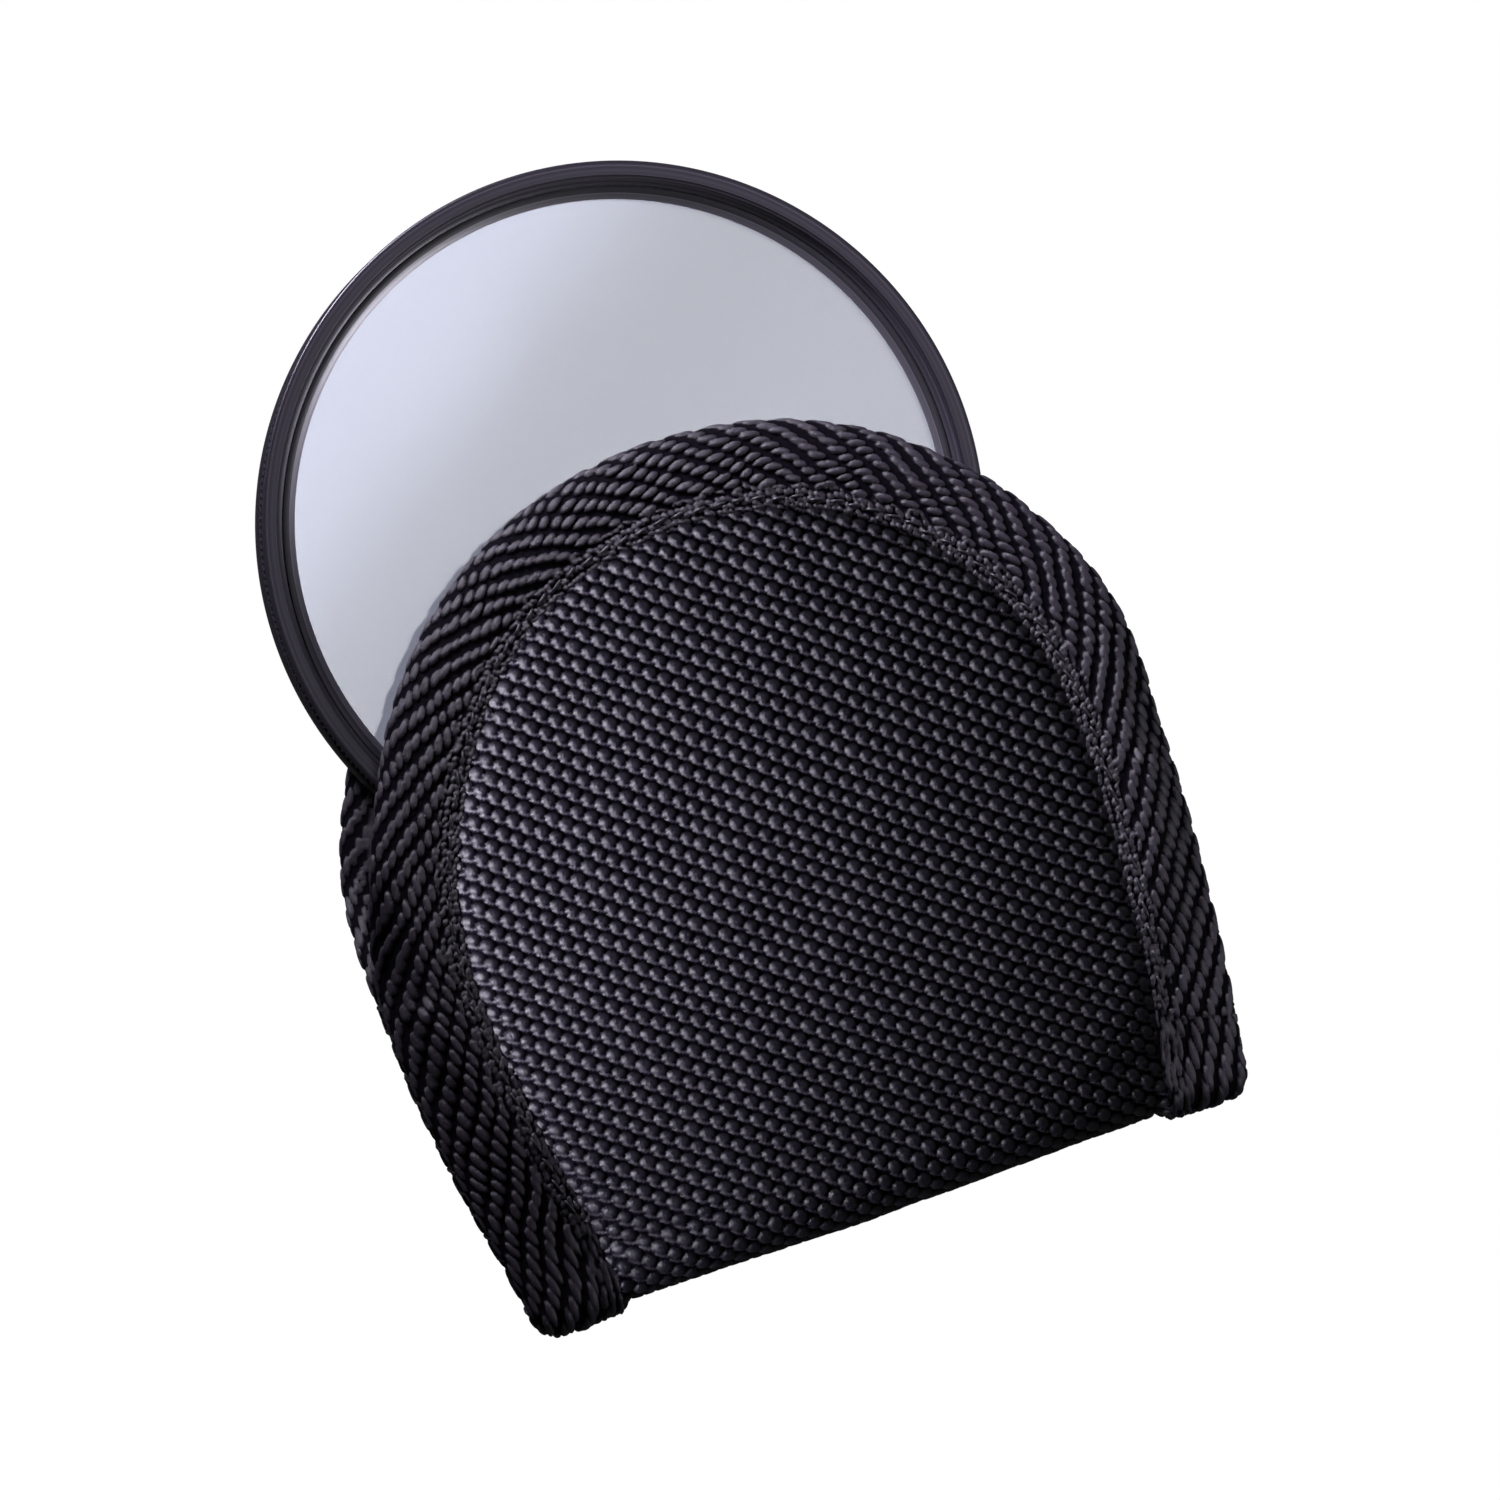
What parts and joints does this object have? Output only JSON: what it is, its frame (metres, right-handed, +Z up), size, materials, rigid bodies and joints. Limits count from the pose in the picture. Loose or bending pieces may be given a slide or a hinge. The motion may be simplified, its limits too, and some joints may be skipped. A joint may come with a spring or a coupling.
{
  "type": "camera filter with pouch",
  "caption": "Round grey glass filter in a knurled, two-part black screw-in ring, half out of an arched, padded woven pouch with bound edges.",
  "frame": {"origin": "middle of the whole object's footprint, on the surface that the pouch's back panel lies on", "axes": "+Y along the pouch from its folded end to its open, arched end, the way the filter comes out; +X across the pouch; +Z up, out of the filter's front"},
  "size_m": [0.0918, 0.1217, 0.0157],
  "materials": {
    "woven_nylon": "coarse plain-woven nylon, satin",
    "foam": "closed-cell foam",
    "lining": "fine knit, matt",
    "binding_tape": "woven binding tape, satin",
    "thread": "twisted thread",
    "anodised_ring": "satin black anodised aluminium",
    "spring_wire": "bright spring wire",
    "filter_glass": "polished and coated",
    "polarising_film": "smooth neutral-grey film",
    "clear_film": "smooth clear film"
  },
  "bodies": {
    "pouch": {"outer_fabric": "woven_nylon", "foam_padding": "foam", "lining": "lining", "edge_binding": "binding_tape", "binding_stitching": "thread", "left_side_seam": "thread", "right_side_seam": "thread"},
    "filter_base": {"rear_mount_ring": "anodised_ring", "snap_wire": "spring_wire"},
    "filter_front": {"front_rotating_ring": "anodised_ring", "retaining_ring": "anodised_ring", "front_glass": "filter_glass", "polarising_film": "polarising_film", "quarter_wave_film": "clear_film", "rear_glass": "filter_glass"}
  },
  "joints": [
    {"name": "filter_slide", "type": "slide", "parent": "pouch", "child": "filter_base", "axis": [-0.1091, 0.994, 0], "range_m": [-0.0322, 0.05]},
    {"name": "front_ring_turn", "type": "hinge", "parent": "filter_base", "child": "filter_front", "pos_m": [-0.0037, 0.02074, 0.0082], "axis": [0, 0, 1], "continuous": true}
  ]
}
